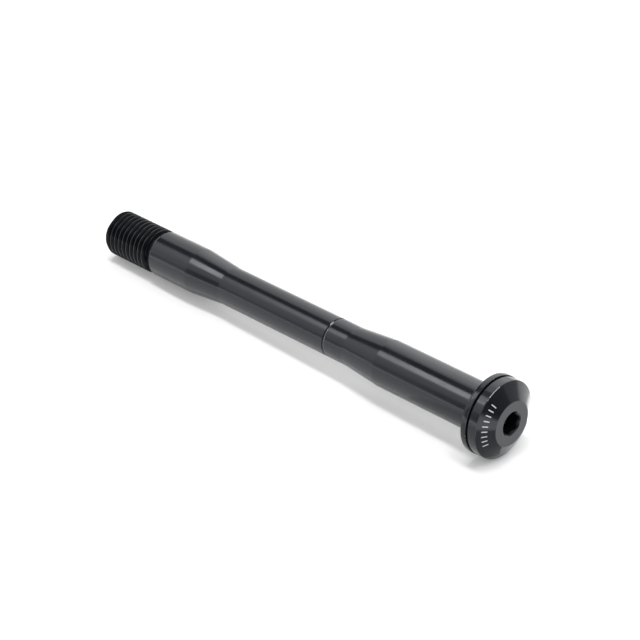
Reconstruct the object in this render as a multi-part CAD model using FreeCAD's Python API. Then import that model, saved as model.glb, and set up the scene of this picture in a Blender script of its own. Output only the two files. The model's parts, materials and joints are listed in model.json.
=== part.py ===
"""Bicycle thru axle: one bar turned from aluminium, lying as it comes to rest.

The axle is modelled along its own axis first, with the head's flat face at 0 and the
thread end at -total_length, and is then laid down on the flange of its head and the last
crest of its thread. Lengths are in millimetres, +X runs towards the head, +Z is up.
"""
import FreeCAD, Part
import math
import os
from FreeCAD import Vector

# Whole axle
total_length = 135.0
shaft_diameter = 12.0
neck_diameter = 10.0

# Head: flat face, cone, rim band, groove and seating flange, from the face backwards
face_diameter = 11.2
cone_angle = 31.0
rim_diameter = 19.4
rim_width = 2.4
head_groove_width = 0.5
head_groove_diameter = 15.0
flange_diameter = 19.7
flange_width = 1.5
edge_break = 0.15

# Stations of the slim neck, each measured from the flange's seat towards the thread
head_seat_length = 31.4
head_taper_length = 11.0
neck_length = 43.2
thread_taper_length = 11.3
thread_seat_length = 13.9

# Fine turned line round the neck
ring_from_taper = 6.3
ring_width = 0.5
ring_depth = 0.14

# External thread M12 x 1.5, its relief and its lead-in; the groove runs out at that part of
# a turn from the underside
thread_diameter = 11.96
thread_pitch = 1.5
relief_width = 1.1
lead_in = 0.65
seat_end_chamfer = 0.3
thread_end_turn = 0.645

# How far the axle has rolled about its own axis as it lies, in degrees
rest_roll = 3.0

# Hexagon socket in the head; one of its corners is turned from straight up towards +Y
socket_turn = 19.0
socket_across_flats = 5.0
socket_depth = 6.0
socket_chamfer = 0.2
drill_point_angle = 118.0

# Weight-saving bore from the thread end
bore_diameter = 6.0
bore_end_wall = 6.0
bore_mouth_chamfer = 0.4

# Worked out from the sizes above
cone_length = (rim_diameter - face_diameter) / 2 * math.tan(math.radians(cone_angle))
rim_back = -cone_length - rim_width
flange_front = rim_back - head_groove_width
seat_face = flange_front - flange_width
head_seat_end = seat_face - head_seat_length
neck_start = head_seat_end - head_taper_length
neck_end = neck_start - neck_length
thread_seat_start = neck_end - thread_taper_length
thread_seat_end = thread_seat_start - thread_seat_length
thread_start = thread_seat_end - relief_width
thread_depth = 0.6134 * thread_pitch
root_diameter = thread_diameter - 2 * thread_depth
ring_place = neck_start - ring_from_taper


def outline_points():
    """Half section of the turned blank, as (station, radius) from the face to the thread end."""
    shaft = shaft_diameter / 2
    neck = neck_diameter / 2
    flange = flange_diameter / 2
    rim = rim_diameter / 2
    groove = head_groove_diameter / 2
    root = root_diameter / 2
    crest = thread_diameter / 2
    return [
        (0, 0),
        (0, face_diameter / 2),
        (-cone_length, rim),
        (rim_back + edge_break, rim),
        (rim_back, rim - edge_break),
        (rim_back, groove),
        (flange_front, groove),
        (flange_front, flange - edge_break),
        (flange_front - edge_break, flange),
        (seat_face + edge_break, flange),
        (seat_face, flange - edge_break),
        (seat_face, shaft),
        (head_seat_end, shaft),
        (neck_start, neck),
        (ring_place + ring_width / 2, neck),
        (ring_place, neck - ring_depth),
        (ring_place - ring_width / 2, neck),
        (neck_end, neck),
        (thread_seat_start, shaft),
        (thread_seat_end + seat_end_chamfer, shaft),
        (thread_seat_end, shaft - seat_end_chamfer),
        (thread_seat_end, root),
        (thread_start, root),
        (thread_start - thread_depth, crest),
        (-total_length + lead_in, crest),
        (-total_length, crest - lead_in),
        (-total_length, 0),
    ]


def revolved(points):
    """Solid of revolution about the axle's axis from (station, radius) points."""
    wire = Part.makePolygon([Vector(x, 0, r) for x, r in points] + [Vector(points[0][0], 0, points[0][1])])
    return Part.Face(wire).revolve(Vector(0, 0, 0), Vector(1, 0, 0), 360)


def thread_groove():
    """The helical groove that the die leaves, from past the end face to the relief's far wall."""
    crest = thread_diameter / 2
    root = root_diameter / 2
    overcut = 0.08
    flank = math.tan(math.radians(30))
    root_half = (thread_pitch * 7 / 8) / 2 - thread_depth * flank
    outer_half = root_half + (thread_depth + overcut) * flank
    last = thread_seat_end - outer_half + overcut
    turns = math.ceil((last + total_length) / thread_pitch) + thread_end_turn
    helix = Part.makeLongHelix(thread_pitch, turns * thread_pitch, root)
    profile = Part.makePolygon([
        Vector(root, 0, -root_half),
        Vector(crest + overcut, 0, -outer_half),
        Vector(crest + overcut, 0, outer_half),
        Vector(root, 0, root_half),
        Vector(root, 0, -root_half),
    ])
    groove = Part.Wire(helix).makePipeShell([profile], True, True)
    groove.rotate(Vector(0, 0, 0), Vector(0, 1, 0), 90)
    groove.translate(Vector(last - turns * thread_pitch, 0, 0))
    return groove


def hexagon_socket():
    """Blind hexagon with a drill point at its floor and a small chamfer at its mouth."""
    corner = socket_across_flats / 2 / math.cos(math.radians(30))
    points = []
    for i in range(7):
        turn = math.radians(60 * i + socket_turn)
        points.append(Vector(0, corner * math.sin(turn), corner * math.cos(turn)))
    prism = Part.Face(Part.makePolygon(points)).extrude(Vector(-socket_depth, 0, 0))
    drilled = socket_across_flats / 2
    tip = drilled / math.tan(math.radians(drill_point_angle / 2))
    point = revolved([(-socket_depth, 0), (-socket_depth, drilled), (-socket_depth - tip, 0)])
    mouth = corner + socket_chamfer
    chamfer = revolved([(0, 0), (0, mouth), (-mouth, 0)])
    return prism.fuse([point, chamfer])


def weight_bore():
    """Bore from the thread end, with a drill point that stops short of the socket."""
    radius = bore_diameter / 2
    tip = radius / math.tan(math.radians(drill_point_angle / 2))
    socket_tip = socket_across_flats / 2 / math.tan(math.radians(drill_point_angle / 2))
    bore_end = -socket_depth - socket_tip - bore_end_wall - tip
    return revolved([
        (bore_end + tip, 0),
        (bore_end, radius),
        (-total_length + bore_mouth_chamfer, radius),
        (-total_length, radius + bore_mouth_chamfer),
        (-total_length, 0),
    ])


def laid_down(shape):
    """Rest the axle on the flange's rear edge and the last full crest, origin below its middle."""
    flange_drop = (flange_diameter - thread_diameter) / 2
    flange_to_crest = total_length - lead_in + seat_face + edge_break
    tilt = math.degrees(math.atan2(flange_drop, flange_to_crest))
    shape.rotate(Vector(0, 0, 0), Vector(1, 0, 0), -rest_roll)
    shape.rotate(Vector(0, 0, 0), Vector(0, 1, 0), -tilt)
    box = shape.optimalBoundingBox(False, False)
    move = Vector(-(box.XMin + box.XMax) / 2, -(box.YMin + box.YMax) / 2, -box.ZMin)
    shape.translate(move)
    return tilt, move


os.makedirs("parts", exist_ok=True)
blank = revolved(outline_points())
thru_axle = blank.cut([thread_groove(), hexagon_socket(), weight_bore()])
rest_tilt, placed = laid_down(thru_axle)
thru_axle.exportStep("parts/thru_axle.step")

print("valid", thru_axle.isValid(), "solids", len(thru_axle.Solids), "volume", round(thru_axle.Volume, 1))
stations = (rim_back, flange_front, seat_face, head_seat_end, neck_start, neck_end)
print("rest tilt", round(rest_tilt, 4), "placed by", [round(v, 4) for v in placed])
print("stations", [round(v, 2) for v in stations + (thread_seat_start, thread_seat_end, thread_start)])
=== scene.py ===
import bpy
import json
import math
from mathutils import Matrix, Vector


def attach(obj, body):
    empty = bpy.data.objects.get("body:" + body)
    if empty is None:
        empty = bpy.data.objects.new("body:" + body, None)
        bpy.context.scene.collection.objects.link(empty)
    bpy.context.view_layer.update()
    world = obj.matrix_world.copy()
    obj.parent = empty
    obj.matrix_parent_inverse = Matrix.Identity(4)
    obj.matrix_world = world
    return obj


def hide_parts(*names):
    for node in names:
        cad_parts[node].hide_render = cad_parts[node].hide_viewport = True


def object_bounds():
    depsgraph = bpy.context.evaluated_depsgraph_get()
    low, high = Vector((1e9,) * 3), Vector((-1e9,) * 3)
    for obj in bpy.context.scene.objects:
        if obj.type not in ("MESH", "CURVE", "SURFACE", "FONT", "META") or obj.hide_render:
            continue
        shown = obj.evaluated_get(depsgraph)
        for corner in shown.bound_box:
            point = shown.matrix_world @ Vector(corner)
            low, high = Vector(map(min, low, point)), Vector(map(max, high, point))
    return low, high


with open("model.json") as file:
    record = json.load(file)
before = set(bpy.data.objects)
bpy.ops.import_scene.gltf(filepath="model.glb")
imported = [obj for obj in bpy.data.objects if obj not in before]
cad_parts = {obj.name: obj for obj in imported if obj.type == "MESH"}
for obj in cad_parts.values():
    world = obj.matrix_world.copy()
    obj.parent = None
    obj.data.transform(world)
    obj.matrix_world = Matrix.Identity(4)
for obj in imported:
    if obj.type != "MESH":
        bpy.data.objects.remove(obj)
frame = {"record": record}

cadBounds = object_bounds()
mm = 0.001

# The axle's own axis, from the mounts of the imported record
mounts = {mount["name"]: mount for mount in frame["record"]["mounts"]}
headward = Vector(mounts["key_socket"]["axis"]).normalized()
faceCentre = Vector(mounts["key_socket"]["pos_m"]) + headward * 3.0 * mm
restTilt = math.asin(headward.z)
axleMiddle = (Vector(cadBounds[0]) + Vector(cadBounds[1])) / 2


# An sRGB hex colour as the linear RGBA that a shader socket takes
def linearColour(hexCode):
    channels = []
    for start in (1, 3, 5):
        value = int(hexCode[start:start + 2], 16) / 255
        channels.append(value / 12.92 if value <= 0.04045 else ((value + 0.055) / 1.055) ** 2.4)
    return (*channels, 1.0)


# Adds a node, sets its properties, and fills or links its inputs by name or number
def addNode(tree, kind, settings=None, inputs=None):
    node = tree.nodes.new(kind)
    for name, value in (settings or {}).items():
        setattr(node, name, value)
    for key, value in (inputs or {}).items():
        socket = node.inputs[key]
        if isinstance(value, bpy.types.NodeSocket):
            tree.links.new(value, socket)
        else:
            socket.default_value = value
    return node


def newMaterial(name):
    material = bpy.data.materials.new(name)
    material.use_nodes = True
    material.node_tree.nodes.clear()
    return material


def deselectAll():
    if bpy.context.object and bpy.context.object.mode != "OBJECT":
        bpy.ops.object.mode_set(mode="OBJECT")
    bpy.ops.object.select_all(action="DESELECT")


def activate(piece):
    deselectAll()
    piece.select_set(True)
    bpy.context.view_layer.objects.active = piece


def applyModifier(piece, kind, values):
    activate(piece)
    modifier = piece.modifiers.new(kind.title(), kind)
    for name, value in values.items():
        setattr(modifier, name, value)
    bpy.ops.object.modifier_apply(modifier=modifier.name)


# The axle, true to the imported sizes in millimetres. It is modelled along X with the head's
# face at 0 and the thread behind it, and laid down at the end.
axleValues = {
    "sides": 192,
    "totalLength": 135.0,
    "faceRadius": 5.6,
    "coneAngle": 31.0,
    "rimRadius": 9.7,
    "rimWidth": 2.4,
    "grooveWidth": 0.5,
    "grooveRadius": 7.5,
    "flangeRadius": 9.85,
    "flangeWidth": 1.5,
    "shaftRadius": 6.0,
    "neckRadius": 5.0,
    "headSeatLength": 31.4,
    "headTaperLength": 11.0,
    "neckLength": 43.2,
    "threadTaperLength": 11.3,
    "threadSeatLength": 13.9,
    "ringFromTaper": 6.3,
    "ringWidth": 0.5,
    "ringDepth": 0.14,
    "seatEndChamfer": 0.3,
    "threadRadius": 5.98,
    "threadPitch": 1.5,
    "threadDepth": 0.9201,
    "reliefWidth": 1.1,
    "threadEntry": 0.35,
    "leadIn": 0.65,
    "edgeRound": 0.12,
    "roundFromAngle": 25.0,
    "smoothAngle": 24.0,
    "restRoll": 3.0,
}
socketValues = {
    "turn": 19.0,
    "acrossFlats": 5.0,
    "depth": 6.0,
    "mouthChamfer": 0.2,
    "drillPointAngle": 118.0,
}
boreValues = {
    "radius": 3.0,
    "endWall": 6.0,
    "mouthChamfer": 0.4,
}


# A shape turned about X: a filled circle, extruded and scaled from one station to the next
def turnedShape(name, outline, sides, turn=0.0):
    deselectAll()
    station, radius = outline[0]
    bpy.ops.mesh.primitive_circle_add(vertices=sides, radius=radius * mm, fill_type="NGON",
                                      location=(station * mm, 0, 0), rotation=(0, math.radians(90), 0))
    piece = bpy.context.object
    piece.name = name
    bpy.ops.object.transform_apply(location=True, rotation=True, scale=True)
    piece.rotation_euler.x = math.radians(turn)
    bpy.ops.object.transform_apply(location=False, rotation=True, scale=False)
    bpy.ops.object.mode_set(mode="EDIT")
    bpy.ops.mesh.select_all(action="SELECT")
    for nextStation, nextRadius in outline[1:]:
        step = ((nextStation - station) * mm, 0, 0)
        bpy.ops.mesh.extrude_region_move(TRANSFORM_OT_translate={"value": step})
        if nextRadius == 0:
            bpy.ops.mesh.merge(type="CENTER")
        elif nextRadius != radius:
            scale = nextRadius / radius
            bpy.ops.transform.resize(value=(1, scale, scale), center_override=(nextStation * mm, 0, 0))
        station, radius = nextStation, nextRadius
    bpy.ops.mesh.select_all(action="SELECT")
    bpy.ops.mesh.normals_make_consistent(inside=False)
    bpy.ops.object.mode_set(mode="OBJECT")
    return piece


# Stations of the axle from the face backwards, negative towards the thread
def axleStations(values):
    stations = {}
    rise = values["rimRadius"] - values["faceRadius"]
    stations["coneEnd"] = -rise * math.tan(math.radians(values["coneAngle"]))
    stations["rimBack"] = stations["coneEnd"] - values["rimWidth"]
    stations["flangeFront"] = stations["rimBack"] - values["grooveWidth"]
    stations["seatFace"] = stations["flangeFront"] - values["flangeWidth"]
    stations["headSeatEnd"] = stations["seatFace"] - values["headSeatLength"]
    stations["neckStart"] = stations["headSeatEnd"] - values["headTaperLength"]
    stations["neckEnd"] = stations["neckStart"] - values["neckLength"]
    stations["threadSeatStart"] = stations["neckEnd"] - values["threadTaperLength"]
    stations["threadSeatEnd"] = stations["threadSeatStart"] - values["threadSeatLength"]
    stations["threadStart"] = stations["threadSeatEnd"] - values["reliefWidth"]
    stations["ring"] = stations["neckStart"] - values["ringFromTaper"]
    return stations


def axleOutline(values, at):
    shaft = values["shaftRadius"]
    neck = values["neckRadius"]
    crest = values["threadRadius"]
    root = crest - values["threadDepth"]
    ringHalf = values["ringWidth"] / 2
    chamfer = values["seatEndChamfer"]
    end = -values["totalLength"]
    return [
        (0, values["faceRadius"]),
        (at["coneEnd"], values["rimRadius"]),
        (at["rimBack"], values["rimRadius"]),
        (at["rimBack"], values["grooveRadius"]),
        (at["flangeFront"], values["grooveRadius"]),
        (at["flangeFront"], values["flangeRadius"]),
        (at["seatFace"], values["flangeRadius"]),
        (at["seatFace"], shaft),
        (at["headSeatEnd"], shaft),
        (at["neckStart"], neck),
        (at["ring"] + ringHalf, neck),
        (at["ring"], neck - values["ringDepth"]),
        (at["ring"] - ringHalf, neck),
        (at["neckEnd"], neck),
        (at["threadSeatStart"], shaft),
        (at["threadSeatEnd"] + chamfer, shaft),
        (at["threadSeatEnd"], shaft - chamfer),
        (at["threadSeatEnd"], root),
        (at["threadStart"], root),
        (at["threadStart"] - values["threadEntry"], crest),
        (end + values["leadIn"], crest),
        (end, crest - values["leadIn"]),
    ]


# Keeps the breaks between seats, tapers and neck crisp, so that reflections change there at once
def markBreaks(piece, stations):
    activate(piece)
    bpy.ops.object.mode_set(mode="EDIT")
    bpy.ops.mesh.select_all(action="DESELECT")
    bpy.ops.object.mode_set(mode="OBJECT")
    corners = piece.data.vertices
    for edge in piece.data.edges:
        first, second = (corners[i].co.x / mm for i in edge.vertices)
        edge.select = any(abs(first - s) < 0.001 and abs(second - s) < 0.001 for s in stations)
    bpy.ops.object.mode_set(mode="EDIT")
    bpy.ops.mesh.mark_sharp()
    bpy.ops.object.mode_set(mode="OBJECT")


# The die's cut: half of the groove's section, from its rounded root to just outside the crest,
# is mirrored, drawn point by point and wound into a right-hand screw
def threadCutter(values, at):
    pitch = values["threadPitch"]
    crest = values["threadRadius"]
    root = crest - values["threadDepth"]
    overcut = 0.08
    outerHalf = 0.72
    side = [
        (0.07, root),
        (0.145, root + 0.035),
        (0.62, crest - 0.052),
        (0.665, crest - 0.012),
        (outerHalf, crest + overcut),
    ]
    start = -values["totalLength"] - pitch / 2
    section = [(start - half, radius) for half, radius in side]
    section += [(start + half, radius) for half, radius in reversed(side)]
    deselectAll()
    bpy.ops.mesh.primitive_plane_add(size=1 * mm, location=(section[0][0] * mm, 0, -section[0][1] * mm))
    piece = bpy.context.object
    piece.name = "threadCutter"
    bpy.ops.object.transform_apply(location=True, rotation=True, scale=True)
    bpy.ops.object.mode_set(mode="EDIT")
    bpy.ops.mesh.select_all(action="SELECT")
    bpy.ops.mesh.merge(type="CENTER")
    for (station, radius), (nextStation, nextRadius) in zip(section, section[1:]):
        step = ((nextStation - station) * mm, 0, -(nextRadius - radius) * mm)
        bpy.ops.mesh.extrude_region_move(TRANSFORM_OT_translate={"value": step})
    bpy.ops.object.mode_set(mode="OBJECT")
    ends = (0, len(piece.data.vertices) - 1)
    for vertex in piece.data.vertices:
        vertex.select = vertex.index in ends
    bpy.ops.object.mode_set(mode="EDIT")
    bpy.ops.mesh.edge_face_add()
    bpy.ops.object.mode_set(mode="OBJECT")
    run = at["threadSeatEnd"] - outerHalf + overcut - start
    applyModifier(piece, "SCREW", {
        "axis": "X", "angle": math.tau * run / pitch, "screw_offset": run * mm, "iterations": 1,
        "steps": round(values["sides"] * run / pitch), "use_smooth_shade": False,
    })
    bpy.ops.object.mode_set(mode="EDIT")
    bpy.ops.mesh.select_all(action="SELECT")
    bpy.ops.mesh.fill_holes(sides=0)
    bpy.ops.mesh.normals_make_consistent(inside=False)
    bpy.ops.object.mode_set(mode="OBJECT")
    return piece


# Hexagon with a drill point at its floor and a chamfered mouth, as three cutters
def socketCutters(values):
    flats = values["acrossFlats"] / 2
    corner = flats / math.cos(math.radians(30))
    tip = flats / math.tan(math.radians(values["drillPointAngle"] / 2))
    mouth = corner + values["mouthChamfer"]
    depth = values["depth"]
    return [
        turnedShape("hexagonCutter", [(0.5, corner), (-depth, corner)], 6, 90 - values["turn"]),
        turnedShape("drillPointCutter", [(0.5 - depth, flats), (-depth, flats), (-depth - tip, 0)], 64),
        turnedShape("mouthCutter", [(0.2, mouth + 0.2), (-mouth, 0)], 128),
    ]


# Weight bore from the thread end, with a drill point that stops short of the socket's
def boreCutter(values, end):
    radius = values["radius"]
    mouth = values["mouthChamfer"]
    slope = 1 / math.tan(math.radians(socketValues["drillPointAngle"] / 2))
    tipStation = -socketValues["depth"] - socketValues["acrossFlats"] / 2 * slope - values["endWall"]
    shoulder = tipStation - radius * slope
    outline = [(end - 0.2, radius + mouth + 0.2), (end + mouth, radius), (shoulder, radius), (tipStation, 0)]
    return turnedShape("boreCutter", outline, 96)


# The turned blank with its edges rounded, cut by thread, bore and socket, then laid down
def buildAxle(values):
    at = axleStations(values)
    axle = turnedShape("turnedAxle", axleOutline(values, at), values["sides"], 180 / values["sides"])
    markBreaks(axle, [at[name] for name in ("headSeatEnd", "neckStart", "neckEnd", "threadSeatStart")])
    applyModifier(axle, "BEVEL", {
        "limit_method": "ANGLE", "angle_limit": math.radians(values["roundFromAngle"]),
        "width": values["edgeRound"] * mm, "segments": 3,
    })
    cutters = [threadCutter(values, at), boreCutter(boreValues, -values["totalLength"])]
    for cutter in cutters + socketCutters(socketValues):
        applyModifier(axle, "BOOLEAN", {"operation": "DIFFERENCE", "object": cutter, "solver": "EXACT"})
        bpy.data.objects.remove(cutter)
    activate(axle)
    bpy.ops.object.shade_smooth_by_angle(angle=math.radians(values["smoothAngle"]), keep_sharp_edges=True)
    applyModifier(axle, "WEIGHTED_NORMAL", {"keep_sharp": True, "weight": 50})
    axle.rotation_euler = (-math.radians(values["restRoll"]), -restTilt, 0)
    axle.location = faceCentre
    activate(axle)
    bpy.ops.object.transform_apply(location=True, rotation=True, scale=True)
    return axle


axle = buildAxle(axleValues)
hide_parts("thru_axle")
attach(axle, "root")
print("axle modelled,", len(axle.data.polygons), "faces")

# Camera, fitted to the photograph's outline
cameraValues = {
    "place": Vector((340.431, -335.496, 303.966)) * mm,
    "pitchDown": 31.7440,
    "heading": 44.8949,
    "focalInImageWidths": 2300 / 640,
}


def buildCamera(values):
    sensorWidth = 36.0
    data = bpy.data.cameras.new("photoCamera")
    data.sensor_width = sensorWidth
    data.lens = values["focalInImageWidths"] * sensorWidth
    data.clip_end = 20.0
    camera = bpy.data.objects.new("photoCamera", data)
    camera.location = values["place"]
    camera.rotation_euler = (math.radians(90 - values["pitchDown"]), 0, math.radians(values["heading"]))
    bpy.context.scene.collection.objects.link(camera)
    bpy.context.scene.camera = camera
    return camera


buildCamera(cameraValues)
bpy.context.scene.view_settings.view_transform = "Standard"
print("camera placed")


# Studio: a white floor and surroundings, with grey cards and soft boxes that the shaft mirrors
studioValues = {
    "floorSize": 8.0,
    "floorHex": "#F2F2F2",
    "floorGlow": 0.12,
    "ambient": 0.54,
}
# Suns: three in a row above the axle draw its close shadow, soft at both ends as under a long
# light box, and four lower ones lighten it again. Their tilts are degrees from straight down,
# towards the back and towards the head.
sunValues = {
    "overheadKey": {"strength": 0.52, "angle": 11.0, "towardsBack": 3.5, "towardsHead": -2.0},
    "headwardKey": {"strength": 0.49, "angle": 12.0, "towardsBack": 3.5, "towardsHead": 14.0},
    "threadwardKey": {"strength": 0.49, "angle": 12.0, "towardsBack": 3.5, "towardsHead": -18.0},
    "frontFill": {"strength": 0.45, "angle": 30.0, "towardsBack": 48.0, "towardsHead": -20.0},
    "backFill": {"strength": 1.9, "angle": 45.0, "towardsBack": -68.0, "towardsHead": 0.0},
    "headEndFill": {"strength": 0.2, "angle": 40.0, "towardsBack": 0.0, "towardsHead": -60.0},
    "threadEndFill": {"strength": 0.2, "angle": 40.0, "towardsBack": 0.0, "towardsHead": 60.0},
}
# Each card is seen from the axle at a turn about its axis, measured from -Y up over the top, and
# at a lean from the thread's direction, with its spans, all in degrees. Every card stands a
# little nearer than the one before it, so a later card covers an earlier one.
cardDistance = 2.0
cardStep = 0.02
panelValues = {
    "frontCard": {"turn": 8, "lean": 172, "turnSpan": 150, "leanSpan": 50, "radiance": 0.04},
    "frontSideCard": {"turn": 165, "lean": 130, "turnSpan": 60, "leanSpan": 34, "radiance": 0.42},
    "frontTopCard": {"turn": 143, "lean": 150, "turnSpan": 28, "leanSpan": 32, "radiance": 0.1},
    "sideCard": {"turn": 28, "lean": 52, "turnSpan": 28, "leanSpan": 80, "radiance": 0.8},
    "lowCard": {"turn": 6, "lean": 52, "turnSpan": 18, "leanSpan": 80, "radiance": 0.5},
    "lowHeadCard": {"turn": 11, "lean": 63, "turnSpan": 44, "leanSpan": 15.4, "radiance": 0.2},
    "upperCard": {"turn": 62, "lean": 52, "turnSpan": 42, "leanSpan": 80, "radiance": 0.95},
    "topCard": {"turn": 91, "lean": 52, "turnSpan": 26, "leanSpan": 80, "radiance": 0.1},
    "stripEdgeBox": {"turn": 65, "lean": 52.3, "turnSpan": 22, "leanSpan": 5, "radiance": 2.3},
    "stripBox": {"turn": 64, "lean": 56, "turnSpan": 23, "leanSpan": 5, "radiance": 4.8},
    "edgeBox": {"turn": 78, "lean": 116, "turnSpan": 22, "leanSpan": 20, "radiance": 5.0},
    "backBox": {"turn": 140, "lean": 61, "turnSpan": 50, "leanSpan": 20, "radiance": 1.5},
}
# Level cards, from corner to corner and at a height in millimetres: four just over the floor
# beside the axle, and three close enough above the head that only its rim and flange mirror them
# The four by the floor stand in for the floor where the axle mirrors it: the three dim ones are painted shade
# of the floor, the bright box painted light on it
levelCardValues = {
    "headFrontFloorCard": {"x": (66, 94), "y": (-22, -1), "height": 0.3, "radiance": 0.4},
    "headSideFloorCard": {"x": (36, 66), "y": (-60, -6.2), "height": 0.3, "radiance": 0.7},
    "nearFloorCard": {"x": (-90, 36), "y": (-90, -6.2), "height": 0.3, "radiance": 0.95},
    "headBackFloorBox": {"x": (46, 66), "y": (15, 34), "height": 0.3, "radiance": 2.6},
    "headStripBox": {"x": (34, 50), "y": (-26, -14), "height": 48, "radiance": 2.1},
    "headDarkCard": {"x": (38, 50), "y": (-14, -2.5), "height": 48, "radiance": 0.25},
    "headBackCard": {"x": (38, 50), "y": (-2.5, 5.5), "height": 48, "radiance": 1.15},
}
whiteLight = (1.0, 1.0, 1.0, 1.0)


# Gives a card an even glow, which only mirrored rays see
def glowUnseen(card, radiance):
    material = newMaterial(card.name + "Glow")
    tree = material.node_tree
    glow = addNode(tree, "ShaderNodeEmission", inputs={"Color": whiteLight, "Strength": radiance})
    addNode(tree, "ShaderNodeOutputMaterial", inputs={"Surface": glow.outputs[0]})
    card.data.materials.append(material)
    card.visible_camera = False
    card.visible_diffuse = False
    card.visible_shadow = False


def panelDirection(turn, lean):
    around = Vector((0, -math.cos(math.radians(turn)), math.sin(math.radians(turn))))
    return Vector((-math.cos(math.radians(lean)), 0, 0)) + around * math.sin(math.radians(lean))


# A flat card that faces the axle's middle
def buildPanel(name, values, distance):
    direction = panelDirection(values["turn"], values["lean"]).normalized()
    sideways = panelDirection(values["turn"] + 1, values["lean"]) - direction
    across = (sideways - direction * sideways.dot(direction)).normalized()
    along = across.cross(direction)
    width = 2 * distance * math.tan(math.radians(values["leanSpan"] / 2))
    height = 2 * distance * math.tan(math.radians(values["turnSpan"] / 2))
    height *= math.sin(math.radians(values["lean"]))
    centre = axleMiddle + direction * distance
    bpy.ops.mesh.primitive_plane_add(size=1)
    panel = bpy.context.object
    panel.name = name
    for vertex in panel.data.vertices:
        vertex.co = centre + along * vertex.co.x * width + across * vertex.co.y * height
    glowUnseen(panel, values["radiance"])


# A flat card that lies level, between two corners
def buildLevelCard(name, values):
    (left, right), (near, far) = values["x"], values["y"]
    centre = Vector(((left + right) / 2, (near + far) / 2, values["height"])) * mm
    bpy.ops.mesh.primitive_plane_add(size=1, location=centre)
    card = bpy.context.object
    card.name = name
    card.scale = ((right - left) * mm, (far - near) * mm, 1)
    bpy.ops.object.transform_apply(location=True, rotation=True, scale=True)
    glowUnseen(card, values["radiance"])


# White sweep paper: matt, and lit a little by itself so that it burns out round the shadow
def layFloor(values):
    bpy.ops.mesh.primitive_plane_add(size=values["floorSize"])
    floor = bpy.context.object
    floor.name = "floor"
    material = newMaterial("whiteSweepPaper")
    tree = material.node_tree
    paper = addNode(tree, "ShaderNodeBsdfDiffuse", inputs={"Color": linearColour(values["floorHex"])})
    glow = addNode(tree, "ShaderNodeEmission", inputs={"Color": whiteLight, "Strength": values["floorGlow"]})
    both = addNode(tree, "ShaderNodeAddShader", inputs={0: paper.outputs[0], 1: glow.outputs[0]})
    addNode(tree, "ShaderNodeOutputMaterial", inputs={"Surface": both.outputs[0]})
    floor.data.materials.append(material)


# White where it is seen or mirrored, and a plain ambient light on all else
def lightWorld(values):
    world = bpy.data.worlds.new("whiteStudio")
    world.use_nodes = True
    bpy.context.scene.world = world
    tree = world.node_tree
    tree.nodes.clear()
    path = addNode(tree, "ShaderNodeLightPath").outputs
    seen = addNode(tree, "ShaderNodeMath", {"operation": "MAXIMUM"},
                   {0: path["Is Camera Ray"], 1: path["Is Glossy Ray"]}).outputs[0]
    seen = addNode(tree, "ShaderNodeMath", {"operation": "MAXIMUM"},
                   {0: seen, 1: path["Is Transmission Ray"]}).outputs[0]
    ambient = addNode(tree, "ShaderNodeBackground",
                      inputs={"Color": whiteLight, "Strength": values["ambient"]}).outputs[0]
    white = addNode(tree, "ShaderNodeBackground", inputs={"Color": whiteLight, "Strength": 1.0}).outputs[0]
    mix = addNode(tree, "ShaderNodeMixShader", inputs={0: seen, 1: ambient, 2: white}).outputs[0]
    addNode(tree, "ShaderNodeOutputWorld", inputs={"Surface": mix})


def hangSun(name, values):
    lamp = bpy.data.objects.new(name, bpy.data.lights.new(name, "SUN"))
    lamp.data.energy = values["strength"]
    lamp.data.angle = math.radians(values["angle"])
    lamp.rotation_euler = (math.radians(values["towardsBack"]), -math.radians(values["towardsHead"]), 0)
    lamp.visible_glossy = False
    bpy.context.scene.collection.objects.link(lamp)


layFloor(studioValues)
lightWorld(studioValues)
for number, (name, panel) in enumerate(panelValues.items()):
    buildPanel(name, panel, cardDistance - cardStep * number)
for name, card in levelCardValues.items():
    buildLevelCard(name, card)
for name, sun in sunValues.items():
    hangSun(name, sun)
print("studio built,", len(panelValues) + len(levelCardValues), "cards and", len(sunValues), "suns")


# Black anodised aluminium, as turned: a dark, faintly blue dyed oxide layer over fine tool marks.
# It gives a smooth satin shaft with crisp reflections; the black thread roots are painted shade
# and the thin light crests a painted highlight. Lengths are millimetres.
finishValues = {
    "dyeHex": "#15161A",
    "oxideTintHex": "#F4F8FF",
    "oxideIor": 1.62,
    "roughness": 0.17,
    "roughnessSpread": 0.04,
    "blotchWidth": 6.0,
    "toolMarkWidth": 0.35,
    "toolMarkDepth": 0.0012,
}
# Painted shade in deep places, black and barely reflecting, and a painted highlight on the crests
shadeValues = {
    "paintedShadeHex": "#0F1014",
    "paintedShadeIor": 1.27,
    "deepBelowCrest": 0.06,
    "crestHighlightHex": "#1E1F22",
    "crestBand": 0.03,
    "endShade": 0.7,
    "endShadeFrom": 6.0,
}
# The fine line turned round the neck: painted shade on its thread-side wall, a painted highlight on the one
# beside it
ringValues = {
    "darkWidth": 0.39,
    "lightWidth": 0.3,
    "highlightHex": "#4E5054",
}
# Small chips in the oxide along the edges, down to bare aluminium; the same colour paints the highlight arcs
chipAndGlintValues = {
    "hex": "#C4C6C8",
    "roughness": 0.5,
    "reach": 0.11,
    "size": 0.6,
    "from": 0.61,
    "full": 0.67,
}
# Arcs of painted highlight on edges and the ring, by station, with angles from -Y up in degrees
glintArcValues = {
    "coneEdge": {"near": "coneEnd", "offset": 0.0, "reach": 0.3, "from": 59.0, "to": 81.0},
    "flangeEdge": {"near": "seatFace", "offset": 0.0, "reach": 0.3, "from": 57.0, "to": 76.0},
    "seatEnd": {"near": "threadSeatEnd", "offset": 0.3, "reach": 0.3, "from": 55.0, "to": 73.0},
    "neckRing": {"near": "ring", "offset": -0.13, "reach": 0.09, "from": 65.0, "to": 80.0},
}
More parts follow.
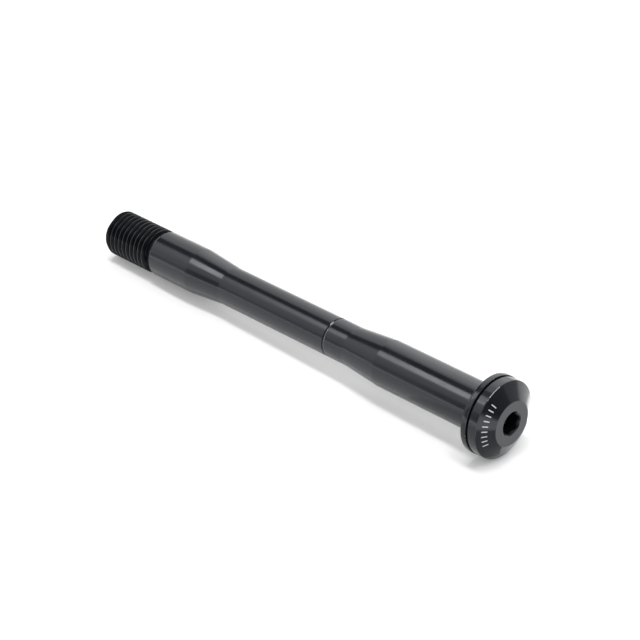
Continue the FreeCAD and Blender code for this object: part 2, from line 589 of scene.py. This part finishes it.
# A plain row of laser-lightened ticks round the cone, with angles from -Y up in degrees
tickValues = {
    "from": -26.0,
    "to": 58.0,
    "count": 9,
    "innerRadius": 7.3,
    "outerRadius": 8.5,
    "width": 0.27,
    "hex": "#BFC1C4",
}


# The surface point in the axle's own frame: its station along the axis, radius and angle
def axleSpot(tree):
    place = addNode(tree, "ShaderNodeTexCoord").outputs["Object"]
    local = addNode(tree, "ShaderNodeMapping", {"vector_type": "TEXTURE"}, {
        "Vector": place, "Location": faceCentre, "Rotation": (0, -restTilt, 0)}).outputs[0]
    parts = addNode(tree, "ShaderNodeSeparateXYZ", inputs={0: local}).outputs
    across = addNode(tree, "ShaderNodeVectorMath", {"operation": "MULTIPLY"},
                     {0: local, 1: (0, 1, 1)}).outputs[0]
    radius = addNode(tree, "ShaderNodeVectorMath", {"operation": "LENGTH"}, {0: across}).outputs["Value"]
    towardsFront = addNode(tree, "ShaderNodeMath", {"operation": "MULTIPLY"},
                           {0: parts["Y"], 1: -1.0}).outputs[0]
    angle = addNode(tree, "ShaderNodeMath", {"operation": "ARCTAN2"},
                    {0: parts["Z"], 1: towardsFront}).outputs[0]
    section = addNode(tree, "ShaderNodeCombineXYZ", inputs={"X": parts["X"], "Y": radius}).outputs[0]
    return {"local": local, "station": parts["X"], "radius": radius, "angle": angle, "section": section}


# How deep a point lies in the thread, as painted shade, and whether it is on a crest; crests darken to the
# end
def threadShade(tree, spot, values, sizes, at):
    crest = sizes["threadRadius"] * mm
    threaded = addNode(tree, "ShaderNodeMath", {"operation": "LESS_THAN"},
                       {0: spot["station"], 1: (at["threadSeatEnd"] - 0.05) * mm}).outputs[0]
    depth = addNode(tree, "ShaderNodeMapRange", inputs={
        "Value": spot["radius"], "From Min": crest,
        "From Max": crest - values["deepBelowCrest"] * mm}).outputs["Result"]
    endShade = addNode(tree, "ShaderNodeMapRange", inputs={
        "Value": spot["station"], "From Min": (at["threadStart"] - values["endShadeFrom"]) * mm,
        "From Max": -sizes["totalLength"] * mm,
        "To Min": 0.0, "To Max": values["endShade"]}).outputs["Result"]
    depth = addNode(tree, "ShaderNodeMath", {"operation": "MAXIMUM"}, {0: depth, 1: endShade}).outputs[0]
    depth = addNode(tree, "ShaderNodeMath", {"operation": "MULTIPLY"}, {0: depth, 1: threaded}).outputs[0]
    # A painted highlight, lighter than the dye, goes on the crests
    onCrest = addNode(tree, "ShaderNodeMapRange", inputs={
        "Value": spot["radius"], "From Min": crest - values["crestBand"] * mm,
        "From Max": crest}).outputs["Result"]
    onCrest = addNode(tree, "ShaderNodeMath", {"operation": "MULTIPLY"}, {0: onCrest, 1: threaded}).outputs[0]
    return depth, onCrest


# Inside the hexagon socket, where shade is painted: within its corners and near the face
def socketShade(tree, spot, values):
    corner = values["acrossFlats"] / 2 / math.cos(math.radians(30)) + 0.013
    narrow = addNode(tree, "ShaderNodeMath", {"operation": "LESS_THAN"},
                     {0: spot["radius"], 1: corner * mm}).outputs[0]
    nearFace = addNode(tree, "ShaderNodeMath", {"operation": "GREATER_THAN"},
                       {0: spot["station"], 1: -1.5 * values["depth"] * mm}).outputs[0]
    return addNode(tree, "ShaderNodeMath", {"operation": "MULTIPLY"}, {0: narrow, 1: nearFace}).outputs[0]


# The two sides of the ring: painted shade towards the thread, a painted highlight towards the head
def ringPaintedLight(tree, spot, values, at):
    dark = values["darkWidth"] / 2
    light = values["lightWidth"] / 2
    black = addNode(tree, "ShaderNodeMath", {"operation": "COMPARE"}, {
        0: spot["station"], 1: (at["ring"] - dark) * mm, 2: dark * mm}).outputs[0]
    lighter = addNode(tree, "ShaderNodeMath", {"operation": "COMPARE"}, {
        0: spot["station"], 1: (at["ring"] + light) * mm, 2: light * mm}).outputs[0]
    return black, lighter


# Nearness to the outer edges, drawn in the axle's half section
def edgeNearness(tree, spot, values, sizes, at):
    edges = [
        (at["coneEnd"], sizes["rimRadius"]),
        (at["rimBack"], sizes["rimRadius"]),
        (at["flangeFront"], sizes["flangeRadius"]),
        (at["seatFace"], sizes["flangeRadius"]),
        (at["threadSeatEnd"] + sizes["seatEndChamfer"], sizes["shaftRadius"]),
    ]
    nearest = None
    for station, radius in edges:
        away = addNode(tree, "ShaderNodeVectorMath", {"operation": "DISTANCE"},
                       {0: spot["section"], 1: (station * mm, radius * mm, 0)}).outputs["Value"]
        if nearest is not None:
            away = addNode(tree, "ShaderNodeMath", {"operation": "MINIMUM"}, {0: nearest, 1: away}).outputs[0]
        nearest = away
    return addNode(tree, "ShaderNodeMapRange", inputs={
        "Value": nearest, "From Min": values["reach"] * mm,
        "From Max": values["reach"] / 3 * mm}).outputs["Result"]


# One arc of painted highlight
def paintedGlintArc(tree, spot, values, at):
    middle = math.radians(values["from"] + values["to"]) / 2
    half = math.radians(values["to"] - values["from"]) / 2
    station = (at[values["near"]] + values["offset"]) * mm
    inArc = addNode(tree, "ShaderNodeMath", {"operation": "COMPARE"},
                    {0: spot["angle"], 1: middle, 2: half}).outputs[0]
    beside = addNode(tree, "ShaderNodeMath", {"operation": "COMPARE"},
                     {0: spot["station"], 1: station, 2: values["reach"] * mm}).outputs[0]
    return addNode(tree, "ShaderNodeMath", {"operation": "MULTIPLY"}, {0: inArc, 1: beside}).outputs[0]


# Where an edge has lost its oxide in scattered chips, and the arcs of painted highlight
def bareSpeckleAndGlints(tree, spot, values, at):
    noise = addNode(tree, "ShaderNodeTexNoise", inputs={
        "Vector": spot["local"], "Scale": 1 / (values["size"] * mm), "Detail": 4.0}).outputs[0]
    bareAndGlint = addNode(tree, "ShaderNodeMapRange", inputs={
        "Value": noise, "From Min": values["from"], "From Max": values["full"]}).outputs["Result"]
    for name in ("coneEdge", "flangeEdge", "seatEnd"):
        arc = paintedGlintArc(tree, spot, glintArcValues[name], at)
        bareAndGlint = addNode(tree, "ShaderNodeMath", {"operation": "MAXIMUM"}, {0: bareAndGlint, 1: arc}).outputs[0]
    return bareAndGlint


# Ticks: the angle round the axis falls into even steps, and a tick is the middle of each
def tickRow(tree, spot, values, at):
    span = math.radians(values["to"] - values["from"]) / values["count"]
    middle = math.radians(values["to"] + values["from"]) / 2
    bandMiddle = (values["innerRadius"] + values["outerRadius"]) / 2
    bandHalf = (values["outerRadius"] - values["innerRadius"]) / 2
    inRow = addNode(tree, "ShaderNodeMath", {"operation": "COMPARE"}, {
        0: spot["angle"], 1: middle, 2: span * values["count"] / 2}).outputs[0]
    turned = addNode(tree, "ShaderNodeMath", {"operation": "SUBTRACT"},
                     {0: spot["angle"], 1: math.radians(values["from"])}).outputs[0]
    steps = addNode(tree, "ShaderNodeMath", {"operation": "DIVIDE"}, {0: turned, 1: span}).outputs[0]
    fraction = addNode(tree, "ShaderNodeMath", {"operation": "FRACT"}, {0: steps}).outputs[0]
    arc = addNode(tree, "ShaderNodeMath", {"operation": "MULTIPLY_ADD"},
                  {0: fraction, 1: span, 2: -span / 2}).outputs[0]
    arc = addNode(tree, "ShaderNodeMath", {"operation": "MULTIPLY"}, {0: arc, 1: spot["radius"]}).outputs[0]
    inTick = addNode(tree, "ShaderNodeMath", {"operation": "COMPARE"},
                     {0: arc, 1: 0.0, 2: values["width"] / 2 * mm}).outputs[0]
    inBand = addNode(tree, "ShaderNodeMath", {"operation": "COMPARE"},
                     {0: spot["radius"], 1: bandMiddle * mm, 2: bandHalf * mm}).outputs[0]
    onCone = addNode(tree, "ShaderNodeMath", {"operation": "GREATER_THAN"},
                     {0: spot["station"], 1: at["coneEnd"] * mm}).outputs[0]
    tick = inRow
    for mask in (inTick, inBand, onCone):
        tick = addNode(tree, "ShaderNodeMath", {"operation": "MULTIPLY"}, {0: tick, 1: mask}).outputs[0]
    return tick


# Tool marks run round the axle, so they vary with station and radius alone
def toolMarks(tree, spot, values):
    marks = addNode(tree, "ShaderNodeTexNoise", {"noise_dimensions": "2D"}, {
        "Vector": spot["section"], "Scale": 1 / (values["toolMarkWidth"] * mm), "Detail": 2.0}).outputs[0]
    return addNode(tree, "ShaderNodeBump", inputs={
        "Height": marks, "Distance": values["toolMarkDepth"] * mm, "Strength": 1.0}).outputs[0]


# Satin oxide with faint blotches, and rougher bare metal in the chips and the painted highlight arcs
def satinRoughness(tree, spot, values, chipsAndGlints):
    blotches = addNode(tree, "ShaderNodeTexNoise", inputs={
        "Vector": spot["local"], "Scale": 1 / (values["blotchWidth"] * mm), "Detail": 3.0}).outputs[0]
    satin = addNode(tree, "ShaderNodeMapRange", inputs={
        "Value": blotches, "From Min": 0.3, "From Max": 0.7,
        "To Min": values["roughness"] - values["roughnessSpread"],
        "To Max": values["roughness"] + values["roughnessSpread"]}).outputs["Result"]
    return addNode(tree, "ShaderNodeMix", inputs={
        0: chipsAndGlints, 2: satin, 3: chipAndGlintValues["roughness"]}).outputs[0]


def blackAnodisedAluminium(values, sizes):
    material = newMaterial("blackAnodisedAluminium")
    tree = material.node_tree
    at = axleStations(sizes)
    spot = axleSpot(tree)
    paintedShade, onCrest = threadShade(tree, spot, shadeValues, sizes, at)
    inSocket = socketShade(tree, spot, socketValues)
    ringShade, ringHighlight = ringPaintedLight(tree, spot, ringValues, at)
    # Painted shade: the socket and the ring's thread-side wall join the thread's shade
    for mask in (inSocket, ringShade):
        paintedShade = addNode(tree, "ShaderNodeMath", {"operation": "MAXIMUM"}, {0: paintedShade, 1: mask}).outputs[0]

    onEdge = edgeNearness(tree, spot, chipAndGlintValues, sizes, at)
    # Random chips may also fall on the ring's painted highlight
    onEdge = addNode(tree, "ShaderNodeMath", {"operation": "MAXIMUM"}, {0: onEdge, 1: ringHighlight}).outputs[0]
    bareAndGlint = bareSpeckleAndGlints(tree, spot, chipAndGlintValues, at)
    chipsAndGlints = addNode(tree, "ShaderNodeMath", {"operation": "MULTIPLY"}, {0: onEdge, 1: bareAndGlint}).outputs[0]
    # A short arc of painted highlight on the ring's black wall
    ringGlint = paintedGlintArc(tree, spot, glintArcValues["neckRing"], at)
    chipsAndGlints = addNode(tree, "ShaderNodeMath", {"operation": "MAXIMUM"}, {0: chipsAndGlints, 1: ringGlint}).outputs[0]

    # Each mask lays its colour over the dye: painted shade, painted highlights on crests and ring, chips with
    # the painted highlight arcs, and the ticks
    colour = linearColour(values["dyeHex"])
    for mask, hexCode in ((paintedShade, shadeValues["paintedShadeHex"]), (onCrest, shadeValues["crestHighlightHex"]),
                          (ringHighlight, ringValues["highlightHex"]), (chipsAndGlints, chipAndGlintValues["hex"]),
                          (tickRow(tree, spot, tickValues, at), tickValues["hex"])):
        colour = addNode(tree, "ShaderNodeMix", {"data_type": "RGBA"}, {
            0: mask, 6: colour, 7: linearColour(hexCode)}).outputs[2]
    ior = addNode(tree, "ShaderNodeMapRange", inputs={
        "Value": paintedShade, "To Min": values["oxideIor"], "To Max": shadeValues["paintedShadeIor"]}).outputs["Result"]

    surface = addNode(tree, "ShaderNodeBsdfPrincipled", inputs={
        "Base Color": colour,
        "Roughness": satinRoughness(tree, spot, values, chipsAndGlints),
        "IOR": ior,
        "Metallic": chipsAndGlints,
        "Specular Tint": linearColour(values["oxideTintHex"]),
        "Normal": toolMarks(tree, spot, values),
    })
    addNode(tree, "ShaderNodeOutputMaterial", inputs={"Surface": surface.outputs[0]})
    return material


axle.data.materials.clear()
axle.data.materials.append(blackAnodisedAluminium(finishValues, axleValues))
print("finish applied")
